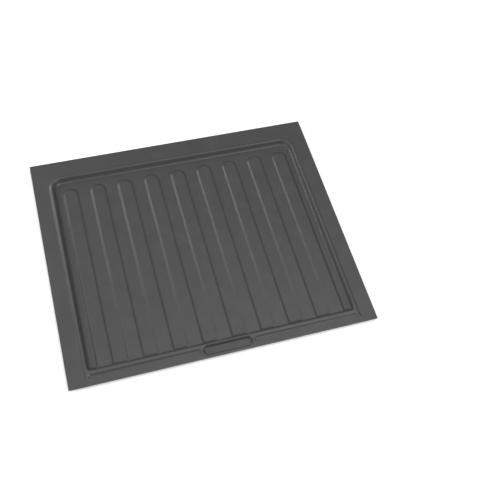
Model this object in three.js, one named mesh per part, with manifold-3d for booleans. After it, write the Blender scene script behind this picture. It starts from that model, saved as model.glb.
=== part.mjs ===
// Ribbed cover panel for a pull-out waste unit: one thermoformed plastic sheet of even thickness.
//
// A flat rim runs round three sides. Inside it a raised bead borders a shallow tray, and flat-topped
// ribs run from the front ridge to short of the back wall. Both side beads run on past the ridge
// towards the front edge, and the ridge widens round a finger notch in the middle.
// Millimetres, +Z up, front towards -Y; the tray's underside lies on Z = 0.

import * as THREE from 'three';
import { mergeVertices } from 'three/addons/utils/BufferGeometryUtils.js';
import Module from 'manifold-3d';

const wasm = await Module();
wasm.setup();

// Sheet
const PANEL_WIDTH = 564;
const PANEL_DEPTH = 478;
const SHEET = 1.8;

// Flat borders, from the edge of the sheet to the foot of the bead or ridge
const SIDE_RIM = 29.2;
const BACK_RIM = 36.5;
const FRONT_STRIP = 17;

// Bead and front ridge, which stand above the rim; a slope's length is measured seen from above
const BEAD_HEIGHT = 3;
const BEAD_SLOPE = 3.2;
const BEAD_CREST = 3;
const BEAD_CORNER = 24.8; // radius of the crest's outer line at the back corners
const BEAD_END_REACH = 9; // how far a side bead runs on in front of the ridge's foot
const RIDGE_CREST = 6;
const RIDGE_JOINT = 1.5; // radius of the foot line in the corners that the ridge makes

// Tray
const TRAY_DEPTH = 6.5; // below the rim
const TRAY_WALL = 5.5;
const TRAY_BACK_CORNER = 16.3;
const TRAY_FRONT_CORNER = 2.5;

// Ribs on the tray floor
const RIB_PITCH = 53.6;
const RIB_TOP = 23.5;
const RIB_HEIGHT = 3;
const RIB_SLOPE = 3.5;
const RIB_SIDE_GAP = 8; // least floor left between a rib and the tray wall
const RIB_BACK_GAP = 17.5; // floor left behind the ribs

// Finger notch
const NOTCH_WIDTH = 85; // at its floor
const NOTCH_BACK_CREST = 3.3; // crest left behind the notch
const NOTCH_DEPTH = 3; // below the rim
const NOTCH_WALL = 2.5;
const NOTCH_CORNER = 6;
const NOTCH_REACH = 10.5; // how far the notch floor and the lips reach in front of the ridge's foot
const LIP_CREST = 3; // crest left on each side of the notch
const LIP_CORNER = 2.5;

// Fineness of the round stretches: each corner is drawn in twice as many steps
const ARC_STEPS = 4;

// Lengths that bury a solid in its neighbour, or let a cutter pass right through
const OVERRUN = 0.3; // share by which a slope runs on past its two ends
const BURIED = 12;
const STOCK = 40;
const PASS = 10;

const RIM_LEVEL = TRAY_DEPTH + SHEET;
const FRONT = -PANEL_DEPTH / 2;
const CREST_SIDE = PANEL_WIDTH / 2 - SIDE_RIM - BEAD_SLOPE;
const CREST_FRONT = FRONT + FRONT_STRIP + BEAD_SLOPE;
const CREST_BACK = PANEL_DEPTH / 2 - BACK_RIM - BEAD_SLOPE;
const FLOOR_SIDE = CREST_SIDE - BEAD_CREST - TRAY_WALL;
const FLOOR_FRONT = CREST_FRONT + RIDGE_CREST + TRAY_WALL;
const FLOOR_BACK = CREST_BACK - BEAD_CREST - TRAY_WALL;

/** Makes a manifold solid from a closed three.js geometry. */
function solid(geometry) {
  geometry.deleteAttribute('normal');
  geometry.deleteAttribute('uv');
  const merged = mergeVertices(geometry, 1e-5);
  return new wasm.Manifold(new wasm.Mesh({
    numProp: 3,
    vertProperties: Float32Array.from(merged.attributes.position.array),
    triVerts: Uint32Array.from(merged.index.array),
  }));
}

/** Outline through square corners given as [x, y, radius], counterclockwise, each rounded inwards or outwards. */
function rounded(corners) {
  const shape = new THREE.Shape();
  corners.forEach(([x, y, radius], index) => {
    const [lastX, lastY] = corners.at(index - 1);
    const [nextX, nextY] = corners[(index + 1) % corners.length];
    const back = new THREE.Vector2(lastX - x, lastY - y).normalize();
    const on = new THREE.Vector2(nextX - x, nextY - y).normalize();
    const clockwise = back.cross(on) > 0;
    const centre = new THREE.Vector2(x, y).addScaledVector(back, radius).addScaledVector(on, radius);
    shape.absarc(centre.x, centre.y, radius, on.negate().angle(), back.negate().angle(), clockwise);
  });
  return shape;
}

/** Outline symmetrical about X = 0, from the corners of its right half. */
function mirrored(rightCorners) {
  const leftCorners = rightCorners.map(([x, y, radius]) => [-x, y, radius]).reverse();
  return rounded([...rightCorners, ...leftCorners]);
}

/** Block whose outline is `outline` at one height and spreads by `slope` over the height `rise`. */
function sloped(outline, depth, rise, slope) {
  return new THREE.ExtrudeGeometry(outline, {
    depth,
    bevelThickness: rise * (1 + OVERRUN),
    bevelSize: slope * (1 + OVERRUN),
    bevelSegments: 1,
    curveSegments: ARC_STEPS,
  });
}

/** Raised block: the outline is its flat top, and its sides spread downwards, on into what it stands on. */
function boss(outline, top, rise, slope) {
  return solid(sloped(outline, BURIED, rise, slope).translate(0, 0, top - rise * (1 + OVERRUN) - BURIED));
}

/** Cutter for a hollow: the outline is its flat floor, and its walls spread upwards, on past the surface. */
function hollow(outline, floor, fall, slope) {
  return solid(sloped(outline, STOCK, fall, slope).translate(0, 0, floor + fall * (1 + OVERRUN)));
}

/** Sideways shift of a slope's two ends on a skin that lies `inset` under the face, measured square to it. */
function shift(inset, rise, slope) {
  return inset * Math.tan(Math.atan2(rise, slope) / 2);
}

/** Flat stock below the rim's face, reaching `margin` past the edges of the sheet. */
function stock(inset, margin) {
  const height = STOCK + margin;
  const block = new THREE.BoxGeometry(PANEL_WIDTH + 2 * margin, PANEL_DEPTH + 2 * margin, height);
  return solid(block.translate(0, 0, RIM_LEVEL - inset - height / 2));
}

/** Bead, front ridge, bead ends and notch surround, as one plateau before the hollows are cut. */
function plateau(inset) {
  const narrow = shift(inset, BEAD_HEIGHT, BEAD_SLOPE);
  const joint = RIDGE_JOINT + BEAD_SLOPE + narrow;
  const lipSide = NOTCH_WIDTH / 2 + NOTCH_WALL + LIP_CREST - narrow;
  const lipFront = CREST_FRONT - NOTCH_REACH + narrow;
  const front = CREST_FRONT + narrow;
  const side = CREST_SIDE - narrow;
  const endFront = CREST_FRONT - BEAD_END_REACH + narrow;
  const endRadius = BEAD_CREST / 2 - narrow;
  const outline = mirrored([
    [lipSide, lipFront, LIP_CORNER - narrow],
    [lipSide, front, joint],
    [side - 2 * endRadius, front, joint],
    [side - 2 * endRadius, endFront, endRadius],
    [side, endFront, endRadius],
    [side, CREST_BACK - narrow, BEAD_CORNER - narrow],
  ]);
  return boss(outline, RIM_LEVEL + BEAD_HEIGHT - inset, BEAD_HEIGHT, BEAD_SLOPE);
}

/** Cutter for the tray. */
function tray(inset) {
  const fall = BEAD_HEIGHT + TRAY_DEPTH;
  const widen = shift(inset, fall, TRAY_WALL);
  const side = FLOOR_SIDE + widen;
  const outline = mirrored([
    [side, FLOOR_FRONT - widen, TRAY_FRONT_CORNER + widen],
    [side, FLOOR_BACK + widen, TRAY_BACK_CORNER + widen],
  ]);
  return hollow(outline, RIM_LEVEL - TRAY_DEPTH - inset, fall, TRAY_WALL);
}

/** Cutter for the finger notch. */
function notch(inset) {
  const fall = BEAD_HEIGHT + NOTCH_DEPTH;
  const widen = shift(inset, fall, NOTCH_WALL);
  const side = NOTCH_WIDTH / 2 + widen;
  const front = CREST_FRONT - BEAD_SLOPE - NOTCH_REACH - widen;
  const back = CREST_FRONT + RIDGE_CREST - NOTCH_BACK_CREST - NOTCH_WALL + widen;
  const outline = mirrored([
    [side, front, NOTCH_CORNER + widen],
    [side, back, NOTCH_CORNER + widen],
  ]);
  return hollow(outline, RIM_LEVEL - NOTCH_DEPTH - inset, fall, NOTCH_WALL);
}

/** Ribs, as many as the tray floor holds at their pitch; their front ends are buried in the ridge. */
function ribs(inset) {
  const narrow = shift(inset, RIB_HEIGHT, RIB_SLOPE);
  const half = RIB_TOP / 2 - narrow;
  const back = FLOOR_BACK - RIB_BACK_GAP - RIB_SLOPE - narrow;
  const front = FLOOR_FRONT - TRAY_WALL;
  const top = RIM_LEVEL - TRAY_DEPTH + RIB_HEIGHT - inset;
  const room = 2 * (FLOOR_SIDE - RIB_SIDE_GAP - RIB_SLOPE) - RIB_TOP;
  const count = Math.floor(room / RIB_PITCH) + 1;
  return Array.from({ length: count }, (_, index) => {
    const middle = (index - (count - 1) / 2) * RIB_PITCH;
    const outline = rounded([
      [middle - half, front, 1],
      [middle + half, front, 1],
      [middle + half, back, half],
      [middle - half, back, half],
    ]);
    return boss(outline, top, RIB_HEIGHT, RIB_SLOPE);
  });
}

/** All that lies below the sheet's face, or below its underside when `inset` is the sheet's thickness. */
function below(inset, margin) {
  const formed = stock(inset, margin).add(plateau(inset)).subtract(tray(inset)).subtract(notch(inset));
  return ribs(inset).reduce((whole, rib) => whole.add(rib), formed);
}

/** The formed sheet: what lies below its face, less what lies below its underside. */
function coverPanel() {
  const mesh = below(0, 0).subtract(below(SHEET, PASS)).getMesh();
  const geometry = new THREE.BufferGeometry();
  geometry.setAttribute('position', new THREE.BufferAttribute(mesh.vertProperties, 3));
  geometry.setIndex(new THREE.BufferAttribute(mesh.triVerts, 1));
  geometry.computeVertexNormals();
  const material = new THREE.MeshStandardMaterial({ color: 0x4b4c4d, roughness: 0.5, metalness: 0 });
  const panel = new THREE.Mesh(geometry, material);
  panel.name = 'cover_panel';
  return panel;
}

const part = new THREE.Group();
part.add(coverPanel());

export default part;
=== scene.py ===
"""Looks for the ribbed cover panel: one thermoformed sheet of satin anthracite plastic.

The sheet is formed here as it is on a mould. A flat grid of vertices is laid over the raised bead,
pressed into the tray and the finger notch, and lifted over the ribs. Its underside is the same
grid laid over the same mould, one sheet thickness down, so the wall is even everywhere.
Lengths are in metres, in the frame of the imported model: X across the panel, -Y the front.
"""

import logging
import math
from dataclasses import dataclass
from enum import Enum

import bmesh
import bpy
from mathutils import Matrix, Vector


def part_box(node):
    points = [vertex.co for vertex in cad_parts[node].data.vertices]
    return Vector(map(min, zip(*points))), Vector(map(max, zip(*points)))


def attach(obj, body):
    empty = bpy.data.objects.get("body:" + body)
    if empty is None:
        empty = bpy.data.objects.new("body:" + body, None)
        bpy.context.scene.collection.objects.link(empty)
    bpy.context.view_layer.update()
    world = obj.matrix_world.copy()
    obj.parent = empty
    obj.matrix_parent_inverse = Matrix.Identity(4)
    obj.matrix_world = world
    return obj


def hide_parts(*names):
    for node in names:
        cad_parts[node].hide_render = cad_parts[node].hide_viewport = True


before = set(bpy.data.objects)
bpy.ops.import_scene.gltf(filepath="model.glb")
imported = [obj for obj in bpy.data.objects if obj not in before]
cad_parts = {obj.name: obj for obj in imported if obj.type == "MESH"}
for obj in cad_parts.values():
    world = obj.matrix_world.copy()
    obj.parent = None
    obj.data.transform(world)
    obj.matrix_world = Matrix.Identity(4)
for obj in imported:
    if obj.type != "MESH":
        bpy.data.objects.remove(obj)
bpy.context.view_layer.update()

MM = 0.001
LEAST_BEND = 0.2 * MM  # tightest bend that either skin may have

Colour = tuple[float, float, float, float]
Socket = bpy.types.NodeSocket

log = logging.getLogger("cover_panel")


def blend_low(first: float, second: float, width: float) -> float:
    """Return the lower of two levels, with their crossing rounded off.

    Args:
        first: One level.
        second: The other level.
        width: Difference between the levels at which the rounding starts.

    Returns:
        The blended level.
    """
    overlap = max(width - abs(first - second), 0.0)
    return min(first, second) - overlap * overlap / (4.0 * width)


def blend_high(first: float, second: float, width: float) -> float:
    """Return the higher of two levels, with their crossing filled out.

    Args:
        first: One level.
        second: The other level.
        width: Difference between the levels at which the filling starts.

    Returns:
        The blended level.
    """
    return -blend_low(-first, -second, width)


def shared(first: float, second: float, radius: float) -> float:
    """Keep what lies inside two outlines, and round the corners where they cross.

    Args:
        first: Signed distance to the first outline, negative inside.
        second: Signed distance to the second outline.
        radius: Radius of the rounded corners.

    Returns:
        Signed distance to the outline of what both hold.
    """
    outside = math.hypot(max(radius + first, 0.0), max(radius + second, 0.0))
    return min(-radius, max(first, second)) + outside


@dataclass(frozen=True)
class Slope:
    """A straight formed slope between two flat levels.

    Attributes:
        rise: Height between the levels.
        run: Length seen from above.
        foot_bend: Radius of the bend at the foot, on the face.
        crest_bend: Radius of the bend at the crest, on the face.
    """

    rise: float
    run: float
    foot_bend: float
    crest_bend: float

    @property
    def angle(self) -> float:
        """Return the steepness in radians."""
        return math.atan2(self.rise, self.run)

    def shift(self, inset: float) -> float:
        """Return how far both ends move sideways on a skin that lies `inset` under the face."""
        return inset * math.tan(self.angle / 2.0)

    def _difference(self, radius: float) -> float:
        """Return the difference between the levels beside a bend at which the bend starts."""
        return radius * math.tan(self.angle / 2.0) * math.tan(self.angle)

    def crest_width(self, inset: float) -> float:
        """Return the blending width that gives the crest its bend on a skin."""
        return self._difference(max(self.crest_bend - inset, LEAST_BEND))

    def foot_width(self, inset: float) -> float:
        """Return the blending width that gives the foot its bend on a skin."""
        return self._difference(self.foot_bend + inset)

    def ramp(self, distance: float, inset: float) -> float:
        """Return the height of the straight slope, which runs on at both ends."""
        return (distance - self.shift(inset)) * math.tan(self.angle)

    def height(self, distance: float, inset: float) -> float:
        """Return the height above the foot's level, bent there and running on past the crest."""
        return blend_high(self.ramp(distance, inset), 0.0, self.foot_width(inset))


@dataclass(frozen=True)
class RoundedBox:
    """An upright rectangle centred on X = 0, with one radius in front and one behind.

    Attributes:
        side: Half its width.
        front: Its lowest Y.
        back: Its highest Y.
        front_corner: Radius of the two front corners.
        back_corner: Radius of the two back corners.
    """

    side: float
    front: float
    back: float
    front_corner: float
    back_corner: float

    def distance(self, x: float, y: float) -> float:
        """Measure how far a place lies outside the outline.

        Args:
            x: Place across the panel.
            y: Place along the panel.

        Returns:
            The distance, negative inside.
        """
        middle = (self.front + self.back) / 2.0
        corner = self.back_corner if y > middle else self.front_corner
        across = abs(x) - self.side + corner
        along = abs(y - middle) - (self.back - self.front) / 2.0 + corner
        outside = math.hypot(max(across, 0.0), max(along, 0.0))
        return min(max(across, along), 0.0) + outside - corner


@dataclass(frozen=True)
class Zone:
    """A stretch of one axis where the sheet bends, so its mesh lines lie close together.

    Attributes:
        low: Where it starts.
        high: Where it ends.
        fine: Spacing of the lines inside it.
    """

    low: float
    high: float
    fine: float = 0.93 * MM

    def spacing(self, place: float, growth: float) -> float:
        """Return the spacing wanted at a place, which grows with the distance from the zone."""
        return self.fine + growth * max(self.low - place, place - self.high, 0.0)


@dataclass(frozen=True)
class GridLines:
    """Mesh lines along one axis: close together in the zones, wider apart between them.

    Attributes:
        zones: Where the lines lie close together.
        widest: Largest spacing between them.
        growth: How much the spacing grows per length outside a zone.
    """

    zones: list[Zone]
    widest: float
    growth: float = 0.7

    def spacing(self, place: float) -> float:
        """Return the spacing wanted at a place."""
        return min([zone.spacing(place, self.growth) for zone in self.zones] + [self.widest])

    def between(self, low: float, high: float) -> list[float]:
        """Place the lines on a stretch of the axis.

        Args:
            low: Place of the first line.
            high: Place of the last line.

        Returns:
            The places of all lines.
        """
        places = [low]
        while places[-1] < high:
            ahead = places[-1] + self.spacing(places[-1])
            places.append(places[-1] + self.spacing(ahead))
        shrink = (high - low) / (places[-1] - low)
        return [low + (place - low) * shrink for place in places]


@dataclass(frozen=True)
class RaisedBead:
    """The bead round three sides, the front ridge, and the lips and bead ends in front of it.

    Attributes:
        slope: The outer slope of the bead and the front slope of the ridge.
        crest: Width of the bead's flat top.
        ridge_crest: Width of the ridge's flat top.
        side_rim: Flat rim at the sides, from the sheet's edge to the bead's foot.
        back_rim: Flat rim at the back.
        front_strip: Flat strip in front of the ridge.
        end_setback: From the front edge to the foot of the bead's ends.
        lip_setback: From the front edge to the foot of the lips beside the notch.
        lip_side: Half the width over the feet of the lips.
        lip_corner: Radius of the foot line at the lips' corners.
        back_corner: Radius of the foot line at the back corners.
        joint: Radius of the foot line where the ridge meets the bead and the lips.
    """

    slope: Slope = Slope(rise=3.0 * MM, run=3.2 * MM, foot_bend=1.8 * MM, crest_bend=4.4 * MM)
    crest: float = 3.0 * MM
    ridge_crest: float = 6.0 * MM
    side_rim: float = 29.2 * MM
    back_rim: float = 36.5 * MM
    front_strip: float = 17.0 * MM
    end_setback: float = 8.0 * MM
    lip_setback: float = 6.5 * MM
    lip_side: float = 51.2 * MM
    lip_corner: float = 5.7 * MM
    back_corner: float = 28.0 * MM
    joint: float = 1.5 * MM

    @property
    def end_corner(self) -> float:
        """Return the radius of the foot line round the bead's ends, which are half round."""
        return self.crest / 2.0 + self.slope.run

    def distance(self, x: float, y: float, side: float, front: float, back: float) -> float:
        """Measure how far a place lies outside the foot line.

        The foot line is a rounded box, less a recess on each hand between the lips and the bead's
        end, where the ridge's own front lies farther back.

        Args:
            x: Place across the panel.
            y: Place along the panel.
            side: Half the width of the sheet.
            front: The sheet's front edge.
            back: The sheet's back edge.

        Returns:
            The distance, negative inside.
        """
        foot = side - self.side_rim
        recess_side = foot - 2.0 * self.end_corner
        recess_middle = (self.lip_side + recess_side) / 2.0
        at_lips = abs(x) < recess_middle
        setback = self.lip_setback if at_lips else self.end_setback
        corner = self.lip_corner if at_lips else self.end_corner
        whole = RoundedBox(
            side=foot,
            front=front + setback,
            back=back - self.back_rim,
            front_corner=corner,
            back_corner=self.back_corner,
        )
        recess = RoundedBox(
            side=recess_side - recess_middle,
            front=front - self.front_strip,
            back=front + self.front_strip,
            front_corner=self.joint,
            back_corner=self.joint,
        )
        clear = -recess.distance(abs(x) - recess_middle, y)
        return shared(whole.distance(x, y), clear, corner)


@dataclass(frozen=True)
class Tray:
    """The shallow hollow inside the bead.

    Attributes:
        wall: Its wall, from the floor up to the bead's crest.
        depth: Depth of its floor below the rim.
        front_corner: Radius of the floor line at the front corners.
        back_corner: Radius of the floor line at the back corners.
    """

    wall: Slope = Slope(rise=9.5 * MM, run=5.5 * MM, foot_bend=4.0 * MM, crest_bend=2.6 * MM)
    depth: float = 6.5 * MM
    front_corner: float = 2.5 * MM
    back_corner: float = 16.3 * MM


@dataclass(frozen=True)
class FingerNotch:
    """The hollow in front of the ridge that takes the fingertips.

    Attributes:
        wall: Its wall, from the floor up to the ridge's crest.
        brink: The part of its wall that ends at the strip, with a tighter bend there.
        width: Width of its floor.
        reach: Length of its floor, front to back.
        setback: From the front edge to its floor.
        corner: Radius of the floor line at the corners.
    """

    wall: Slope = Slope(rise=6.0 * MM, run=2.5 * MM, foot_bend=1.6 * MM, crest_bend=2.4 * MM)
    brink: Slope = Slope(rise=3.0 * MM, run=1.25 * MM, foot_bend=1.6 * MM, crest_bend=0.3 * MM)
    width: float = 85.0 * MM
    reach: float = 13.9 * MM
    setback: float = 6.5 * MM
    corner: float = 6.0 * MM

    def cut(self, level: float, x: float, y: float, front: float, inset: float) -> float:
        """Press the notch into a level.

        Args:
            level: Height above the rim before the notch is made.
            x: Place across the panel.
            y: Place along the panel.
            front: The sheet's front edge.
            inset: How far the skin lies under the face.

        Returns:
            Height above the rim.
        """
        low = front + self.setback
        floor = RoundedBox(self.width / 2.0, low, low + self.reach, self.corner, self.corner)
        dip = self.wall.height(floor.distance(x, y), inset) - self.brink.rise
        raised = min(max(level / (self.wall.rise - self.brink.rise), 0.0), 1.0)
        tight, wide = self.brink.crest_width(inset), self.wall.crest_width(inset)
        return blend_low(level, dip, tight + raised * (wide - tight))


@dataclass(frozen=True)
class RibRow:
    """The flat-topped ribs on the tray floor, round at the back and buried in the ridge in front.

    Attributes:
        slope: Slope of their sides and back ends.
        pitch: Distance from rib to rib.
        top: Width of a rib's flat top.
        side_gap: Least floor left between a rib and the tray's wall.
        back_gap: Floor left behind the ribs.
    """

    slope: Slope = Slope(rise=3.0 * MM, run=3.5 * MM, foot_bend=1.9 * MM, crest_bend=2.6 * MM)
    pitch: float = 53.6 * MM
    top: float = 23.5 * MM
    side_gap: float = 8.0 * MM
    back_gap: float = 17.5 * MM

    @property
    def foot(self) -> float:
        """Return half the width of a rib at its foot."""
        return self.top / 2.0 + self.slope.run

    def centres(self, floor: RoundedBox) -> list[float]:
        """Set out as many ribs as the tray's floor holds.

        Args:
            floor: Outline of the tray's floor.

        Returns:
            The places of the ribs' middles across the panel.
        """
        room = 2.0 * (floor.side - self.side_gap - self.foot)
        last = math.floor(room / self.pitch)
        return [(rib - last / 2.0) * self.pitch for rib in range(last + 1)]

    def height(
        self, x: float, y: float, floor: RoundedBox, tray_wall: float, inset: float
    ) -> float:
        """Measure how high the nearest rib stands above the tray's floor.

        Args:
            x: Place across the panel.
            y: Place along the panel.
            floor: Outline of the tray's floor.
            tray_wall: Length of the tray's wall seen from above.
            inset: How far the skin lies under the face.

        Returns:
            The height, which runs on below the floor outside the rib's foot.
        """
        nearest = min(self.centres(floor), key=lambda centre: abs(x - centre))
        outline = RoundedBox(
            side=self.foot,
            front=floor.front - tray_wall - self.slope.run,
            back=floor.back - self.back_gap,
            front_corner=self.slope.run,
            back_corner=self.foot,
        )
        ramp = self.slope.ramp(-outline.distance(x - nearest, y), inset)
        return blend_low(ramp, self.slope.rise, self.slope.crest_width(inset))


@dataclass(frozen=True)
class Patches:
    """Soft uneven patches all over a surface.

    Attributes:
        size: Size of the largest ones.
        detail: How many finer layers they have.
        low: Level of the noise at which a patch starts.
        high: Level of the noise from which a patch is full.
    """

    size: float
    detail: float
    low: float = 0.3
    high: float = 0.7


@dataclass(frozen=True)
class Relief:
    """A fine uneven relief all over a surface.

    Attributes:
        size: Size of its bumps.
        height: Height of its bumps.
        detail: How many finer layers they have.
    """

    size: float
    height: float
    detail: float = 2.0


@dataclass(frozen=True)
class ShaderBench:
    """A material's node tree, with the few kinds of node that its finish is made of.

    Attributes:
        tree: The node tree.
        place: The place on the object, from which every pattern starts.
    """

    tree: bpy.types.NodeTree
    place: Socket

    def noise(self, size: float, detail: float) -> Socket:
        """Add a noise.

        Args:
            size: Size of its patches.
            detail: How many finer layers it has.

        Returns:
            Its level, from 0 to 1.
        """
        node = self.tree.nodes.new("ShaderNodeTexNoise")
        node.inputs["Scale"].default_value = 1.0 / size
        node.inputs["Detail"].default_value = detail
        self.tree.links.new(self.place, node.inputs["Vector"])
        return node.outputs["Fac"]

    def spread(
        self, source: Socket, start: tuple[float, float], end: tuple[float, float] = (0.0, 1.0)
    ) -> Socket:
        """Spread a value from one range to another.

        Args:
            source: The value.
            start: The range that is used; values outside it are cut off.
            end: The range that it becomes.

        Returns:
            The spread value.
        """
        node = self.tree.nodes.new("ShaderNodeMapRange")
        for name, value in zip(("From Min", "From Max", "To Min", "To Max"), (*start, *end)):
            node.inputs[name].default_value = value
        self.tree.links.new(source, node.inputs["Value"])
        return node.outputs["Result"]

    def patchy(self, patches: Patches, end: tuple[float, float] = (0.0, 1.0)) -> Socket:
        """Add patches; `end` holds the value between them and the value on them."""
        level = self.noise(patches.size, patches.detail)
        return self.spread(level, (patches.low, patches.high), end)

    def product(self, first: Socket, second: Socket) -> Socket:
        """Multiply two values.

        Args:
            first: One value.
            second: The other value.

        Returns:
            Their product.
        """
        node = self.tree.nodes.new("ShaderNodeMath")
        node.operation = "MULTIPLY"
        self.tree.links.new(first, node.inputs[0])
        self.tree.links.new(second, node.inputs[1])
        return node.outputs["Value"]

    def mixed(self, factor: Socket, first: Colour | Socket, second: Colour) -> Socket:
        """Mix two colours.

        Args:
            factor: Share of the second colour.
            first: The first colour, fixed or from another node.
            second: The second colour.

        Returns:
            The mixed colour.
        """
        node = self.tree.nodes.new("ShaderNodeMix")
        node.data_type = "RGBA"
        colours = [socket for socket in node.inputs if socket.type == "RGBA"]
        self.tree.links.new(factor, node.inputs["Factor"])
        if isinstance(first, tuple):
            colours[0].default_value = first
        else:
            self.tree.links.new(first, colours[0])
        colours[1].default_value = second
        return next(socket for socket in node.outputs if socket.type == "RGBA")

    def raised(self, relief: Relief, under: Socket | None = None) -> Socket:
        """Raise the surface by a relief.

        Args:
            relief: The relief.
            under: Normal of the surface under it, if that is raised already.

        Returns:
            The new normal.
        """
        node = self.tree.nodes.new("ShaderNodeBump")
        node.inputs["Distance"].default_value = relief.height
        self.tree.links.new(self.noise(relief.size, relief.detail), node.inputs["Height"])
        if under is not None:
            self.tree.links.new(under, node.inputs["Normal"])
        return node.outputs["Normal"]


@dataclass(frozen=True)
class GrainedPlastic:
    """Satin anthracite plastic with the fine grain of the mould.

    Attributes:
        colour: Base colour, linear.
        mottle: How much lighter the palest patches are.
        mottle_patches: The patches of slightly uneven colour.
        crest_highlight_and_wear: How much lighter the crests are painted, partly a painted
            highlight along the crests and partly wear where hands and bags rub.
        crest_highlight_and_wear_patches: The patches that the painted highlight and wear break up
            into.
        crest_highlight_and_wear_least: Share of the painted highlight and wear that is left
            between these patches.
        crest_highlight_and_wear_depth: How far below the crests the painted highlight and wear
            start.
        roughness: Lowest and highest roughness.
        sheen_patches: The patches over which the roughness varies.
        waves: The slow waves that forming leaves in the sheet.
        grain: The grain of the mould.
        index: Refractive index.
    """

    colour: tuple[float, float, float] = (0.0288, 0.0290, 0.0293)
    mottle: float = 1.14
    mottle_patches: Patches = Patches(size=30.0 * MM, detail=4.0, low=0.35, high=0.65)
    crest_highlight_and_wear: float = 1.25
    crest_highlight_and_wear_patches: Patches = Patches(size=6.0 * MM, detail=3.0)
    crest_highlight_and_wear_least: float = 0.3
    crest_highlight_and_wear_depth: float = 0.9 * MM
    roughness: tuple[float, float] = (0.40, 0.52)
    sheen_patches: Patches = Patches(size=22.0 * MM, detail=5.0)
    waves: Relief = Relief(size=14.0 * MM, height=0.05 * MM)
    grain: Relief = Relief(size=0.9 * MM, height=0.05 * MM)
    index: float = 1.49

    def shade(self, factor: float) -> Colour:
        """Return the base colour made lighter by a factor."""
        return (*(part * factor for part in self.colour), 1.0)

    def material(self, crest: float) -> bpy.types.Material:
        """Make the material.

        Args:
            crest: Height of the crests.

        Returns:
            The material.
        """
        made = bpy.data.materials.new("satin_anthracite")
        made.use_nodes = True
        tree = made.node_tree
        shader = tree.nodes["Principled BSDF"]
        shader.inputs["IOR"].default_value = self.index
        place = tree.nodes.new("ShaderNodeTexCoord").outputs["Object"]
        height = tree.nodes.new("ShaderNodeSeparateXYZ")
        tree.links.new(place, height.inputs["Vector"])
        bench = ShaderBench(tree, place)

        mottled = bench.patchy(self.mottle_patches)
        base = bench.mixed(mottled, self.shade(1.0), self.shade(self.mottle))
        # Painted highlight and wear: the crests are painted lighter, in patches, in a band just
        # under the crest height.
        painted_crest_band = bench.spread(height.outputs["Z"], (crest - self.crest_highlight_and_wear_depth, crest))
        painted_crest_highlight_and_wear = bench.product(painted_crest_band, bench.patchy(self.crest_highlight_and_wear_patches, (self.crest_highlight_and_wear_least, 1.0)))
        colour = bench.mixed(painted_crest_highlight_and_wear, base, self.shade(self.crest_highlight_and_wear))
        gloss = bench.patchy(self.sheen_patches, self.roughness)
        normal = bench.raised(self.grain, under=bench.raised(self.waves))
        for source, name in ((colour, "Base Color"), (gloss, "Roughness"), (normal, "Normal")):
            tree.links.new(source, shader.inputs[name])
        return made


class Skin(Enum):
    """The two skins of the sheet."""

    FACE = "face"
    UNDERSIDE = "underside"


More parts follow.
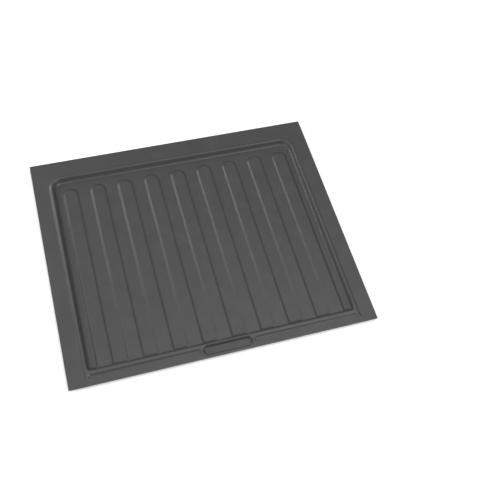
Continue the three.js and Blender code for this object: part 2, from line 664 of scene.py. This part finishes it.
@dataclass(frozen=True)
class CoverPanel:
    """The whole panel, one formed sheet.

    Attributes:
        low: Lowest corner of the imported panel.
        high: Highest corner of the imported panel.
        thickness: Thickness of the sheet.
        bead: The raised bead and ridge.
        tray: The hollow inside the bead.
        notch: The finger notch.
        ribs: The ribs on the tray floor.
        finish: The plastic it is made of.
        edge_break: Width of the broken edge all round the cut sheet.
        sharp_angle: Angle over which an edge counts as sharp and is broken, in degrees.
        bend_margin: Sideways reach of a bend beyond its slope.
        brink_lines: Spacing of the mesh lines at the notch's tight front bend.
        widest_across: Widest spacing of the mesh lines across the panel.
        widest_along: Widest spacing of the mesh lines along the panel.
    """

    low: Vector
    high: Vector
    thickness: float = 1.8 * MM
    bead: RaisedBead = RaisedBead()
    tray: Tray = Tray()
    notch: FingerNotch = FingerNotch()
    ribs: RibRow = RibRow()
    finish: GrainedPlastic = GrainedPlastic()
    edge_break: float = 0.3 * MM
    sharp_angle: float = 60.0
    bend_margin: float = 1.5 * MM
    brink_lines: float = 0.3 * MM
    widest_across: float = 12.0 * MM
    widest_along: float = 24.0 * MM

    @property
    def side(self) -> float:
        """Return half the panel's width."""
        return self.high.x

    @property
    def rim_level(self) -> float:
        """Return the height of the rim's face."""
        return self.low.z + self.tray.depth + self.thickness

    @property
    def floor(self) -> RoundedBox:
        """Outline the tray's floor.

        Returns:
            The outline.
        """
        bead, wall = self.bead, self.tray.wall
        beside = bead.slope.run + bead.crest + wall.run
        before = bead.slope.run + bead.ridge_crest + wall.run
        return RoundedBox(
            side=self.side - bead.side_rim - beside,
            front=self.low.y + bead.front_strip + before,
            back=self.high.y - bead.back_rim - beside,
            front_corner=self.tray.front_corner,
            back_corner=self.tray.back_corner,
        )

    def level(self, x: float, y: float, floor: RoundedBox, inset: float) -> float:
        """Find the height of a skin over a place of the plan.

        Args:
            x: Place across the panel.
            y: Place along the panel.
            floor: Outline of the tray's floor.
            inset: How far the skin lies under the face, measured square to it.

        Returns:
            The height.
        """
        slope, tray, ribs = self.bead.slope, self.tray, self.ribs
        within = -self.bead.distance(x, y, self.side, self.low.y, self.high.y)
        plateau = blend_low(slope.height(within, inset), slope.rise, slope.crest_width(inset))
        hollow = tray.wall.height(floor.distance(x, y), inset) - tray.depth
        formed = blend_low(plateau, hollow, tray.wall.crest_width(inset))
        formed = self.notch.cut(formed, x, y, self.low.y, inset)
        rib = ribs.height(x, y, floor, tray.wall.run, inset) - tray.depth
        return self.rim_level - inset + blend_high(formed, rib, ribs.slope.foot_width(inset))

    def lines_across(self) -> list[float]:
        """Place the mesh lines across the panel, alike on both halves.

        Returns:
            The places of the lines, left to right.
        """
        margin, floor, ribs = self.bend_margin, self.floor, self.ribs
        zones = [
            Zone(self.notch.width / 2.0 - margin, self.bead.lip_side + margin),
            Zone(floor.side - margin, self.side - self.bead.side_rim + margin),
            Zone(self.side - self.edge_break, self.side),
        ]
        for centre in ribs.centres(floor):
            for hand in (-1.0, 1.0):
                ends = [centre + hand * ribs.top / 2.0, centre + hand * ribs.foot]
                zones.append(Zone(min(ends) - margin, max(ends) + margin))
        half = GridLines(zones, widest=self.widest_across).between(0.0, self.side)
        return [-place for place in reversed(half[1:])] + half

    def lines_along(self) -> list[float]:
        """Place the mesh lines along the panel.

        Returns:
            The places of the lines, front to back.
        """
        margin, floor, notch = self.bend_margin, self.floor, self.notch
        rib_end = floor.back - self.ribs.back_gap
        notch_front = self.low.y + notch.setback
        brink_crest = notch_front - notch.brink.run - notch.brink.crest_bend
        zones = [
            Zone(self.low.y, self.low.y + self.edge_break),
            Zone(brink_crest, notch_front, self.brink_lines),
            Zone(notch_front, floor.front + margin),
            Zone(rib_end - self.ribs.foot, rib_end + margin),
            Zone(floor.back - margin, self.high.y - self.bead.back_rim + margin),
            Zone(self.high.y - self.edge_break, self.high.y),
        ]
        return GridLines(zones, widest=self.widest_along).between(self.low.y, self.high.y)

    def lay_grid(self, shape: bmesh.types.BMesh, skin: Skin) -> None:
        """Add a grid to the sheet's mesh and lay it over the mould as one of its skins.

        Args:
            shape: The sheet's mesh.
            skin: Which skin the grid becomes.
        """
        across, along, floor = self.lines_across(), self.lines_along(), self.floor
        columns, rows = len(across) - 1, len(along) - 1
        inset = 0.0 if skin is Skin.FACE else self.thickness
        grid = bmesh.ops.create_grid(shape, x_segments=columns, y_segments=rows, size=1.0)
        for vertex in grid["verts"]:
            x = across[round((vertex.co.x + 1.0) / 2.0 * columns)]
            y = along[round((vertex.co.y + 1.0) / 2.0 * rows)]
            vertex.co = Vector((x, y, self.level(x, y, floor, inset)))

    def close_edge(self, shape: bmesh.types.BMesh) -> None:
        """Join the two skins along the cut edge, turn all faces outwards and break sharp edges.

        Args:
            shape: The sheet's mesh, with both skins in place.
        """
        borders = [edge for edge in shape.edges if edge.is_boundary]
        bmesh.ops.bridge_loops(shape, edges=borders)
        bmesh.ops.recalc_face_normals(shape, faces=shape.faces)
        limit = math.radians(self.sharp_angle)
        bmesh.ops.bevel(
            shape,
            geom=[edge for edge in shape.edges if edge.calc_face_angle() > limit],
            offset=self.edge_break,
            segments=2,
            profile=0.5,
            affect="EDGES",
            clamp_overlap=True,
            material=-1,
        )

    def build(self) -> bpy.types.Object:
        """Form the sheet and dress it.

        Returns:
            The finished object, at the origin, with its place in its mesh.
        """
        shape = bmesh.new()
        self.lay_grid(shape, Skin.FACE)
        self.lay_grid(shape, Skin.UNDERSIDE)
        self.close_edge(shape)
        for face in shape.faces:
            face.smooth = True
        mesh = bpy.data.meshes.new("formed_sheet")
        shape.to_mesh(mesh)
        shape.free()
        panel = bpy.data.objects.new("formed_sheet", mesh)
        bpy.context.scene.collection.objects.link(panel)
        self.dress(panel)
        return panel

    def dress(self, panel: bpy.types.Object) -> None:
        """Give the sheet its plastic, painted lighter along the crests of the bead and the ridge:
        partly a painted highlight, partly wear.
        """
        crest = self.rim_level + self.bead.slope.rise
        panel.data.materials.append(self.finish.material(crest))


@dataclass(frozen=True)
class SoftBox:
    """A square diffuse studio light that faces the panel.

    Attributes:
        name: Its name.
        azimuth: Its direction seen from above, in degrees, from +X towards +Y.
        elevation: Its height above the horizon, in degrees.
        power: Its power in watts.
        distance: How far it stands from the panel.
        size: Length of its side.
    """

    name: str
    azimuth: float
    elevation: float
    power: float
    distance: float = 3.0
    size: float = 1.2

    @property
    def towards(self) -> Vector:
        """Find the direction in which the light stands.

        Returns:
            The direction, seen from the panel.
        """
        turn, lift = math.radians(self.azimuth), math.radians(self.elevation)
        level = math.cos(lift)
        return Vector((math.cos(turn) * level, math.sin(turn) * level, math.sin(lift)))

    def build(self) -> bpy.types.Object:
        """Make the light.

        Returns:
            The light object.
        """
        light = bpy.data.lights.new(self.name, "AREA")
        light.shape = "SQUARE"
        light.size = self.size
        light.energy = self.power
        lamp = bpy.data.objects.new(self.name, light)
        lamp.location = self.towards * self.distance
        lamp.rotation_mode = "QUATERNION"
        lamp.rotation_quaternion = self.towards.to_track_quat("Z", "Y")
        bpy.context.scene.collection.objects.link(lamp)
        return lamp


@dataclass(frozen=True)
class Viewpoint:
    """The camera's place and lens.

    Attributes:
        place: Where it stands.
        aim: What lies in the middle of its picture.
        roll: How far it is turned about its line of sight, in degrees.
        lens: Focal length, in millimetres.
    """

    place: Vector
    aim: Vector
    roll: float
    lens: float

    def build(self) -> bpy.types.Object:
        """Make the camera and take the scene's picture from it.

        Returns:
            The camera object.
        """
        data = bpy.data.cameras.new("viewpoint")
        data.lens = self.lens
        camera = bpy.data.objects.new("viewpoint", data)
        level = (self.aim - self.place).to_track_quat("-Z", "Y").to_matrix().to_4x4()
        turned = Matrix.Rotation(math.radians(self.roll), 4, "Z")
        camera.matrix_world = Matrix.Translation(self.place) @ level @ turned
        bpy.context.scene.collection.objects.link(camera)
        bpy.context.scene.camera = camera
        return camera


@dataclass(frozen=True)
class Studio:
    """A plain pale floor under soft light.

    Attributes:
        floor_size: Length of the floor's side.
        floor_tone: Its grey, linear.
        floor_roughness: Its roughness.
        floor_specular: Its specular level; none, so that the floor is all matt.
        floor_drop: How far it lies under the panel.
        sky_strength: Strength of the even white light from all round.
        lights: Its soft boxes.
        viewpoint: Its camera.
    """

    floor_size: float = 12.0
    floor_tone: float = 0.9
    floor_roughness: float = 0.9
    floor_specular: float = 0.0
    floor_drop: float = 0.2 * MM
    sky_strength: float = 0.54
    lights: tuple[SoftBox, ...] = (
        SoftBox("left", azimuth=210.0, elevation=38.0, power=32.0),
        SoftBox("behind_left", azimuth=135.0, elevation=22.0, power=33.0),
        SoftBox("above_left", azimuth=135.0, elevation=55.0, power=8.0),
        SoftBox("overhead", azimuth=0.0, elevation=78.0, power=31.0),
        SoftBox("front_right", azimuth=330.0, elevation=38.0, power=41.0),
    )
    viewpoint: Viewpoint = Viewpoint(
        place=Vector((-0.20553, -0.70420, 1.21825)),
        aim=Vector((0.09226, -0.04513, 0.0083)),
        roll=9.54,
        lens=53.18,
    )

    def matt_finish(self) -> bpy.types.Material:
        """Make the floor's matt pale finish.

        Returns:
            The material.
        """
        finish = bpy.data.materials.new("pale_floor")
        finish.use_nodes = True
        shader = finish.node_tree.nodes["Principled BSDF"]
        shader.inputs["Base Color"].default_value = (self.floor_tone,) * 3 + (1.0,)
        shader.inputs["Roughness"].default_value = self.floor_roughness
        shader.inputs["Specular IOR Level"].default_value = self.floor_specular
        return finish

    def floor(self) -> bpy.types.Object:
        """Make the floor, just under the panel.

        Returns:
            The floor object.
        """
        shape = bmesh.new()
        bmesh.ops.create_grid(shape, x_segments=1, y_segments=1, size=self.floor_size / 2.0)
        mesh = bpy.data.meshes.new("studio_floor")
        shape.to_mesh(mesh)
        shape.free()
        mesh.materials.append(self.matt_finish())
        floor = bpy.data.objects.new("studio_floor", mesh)
        floor.location.z = -self.floor_drop
        bpy.context.scene.collection.objects.link(floor)
        return floor

    def sky(self) -> bpy.types.World:
        """Make the even white light from all round.

        Returns:
            The world that gives it.
        """
        world = bpy.data.worlds.new("studio")
        world.use_nodes = True
        background = world.node_tree.nodes["Background"]
        background.inputs["Color"].default_value = (1.0, 1.0, 1.0, 1.0)
        background.inputs["Strength"].default_value = self.sky_strength
        return world

    def build(self) -> None:
        """Set up the floor, the lights, the sky and the camera."""
        self.floor()
        for light in self.lights:
            light.build()
        bpy.context.scene.world = self.sky()
        bpy.context.scene.view_settings.view_transform = "Standard"
        self.viewpoint.build()


def main() -> None:
    """Build and dress the panel, then set up the studio."""
    logging.basicConfig(level=logging.INFO, format="%(message)s")
    low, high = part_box("cover_panel")
    piece = CoverPanel(low, high).build()
    log.info("%s: %d faces", piece.name, len(piece.data.polygons))
    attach(piece, "root")
    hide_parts("cover_panel")
    Studio().build()


if __name__ == "__main__":
    main()
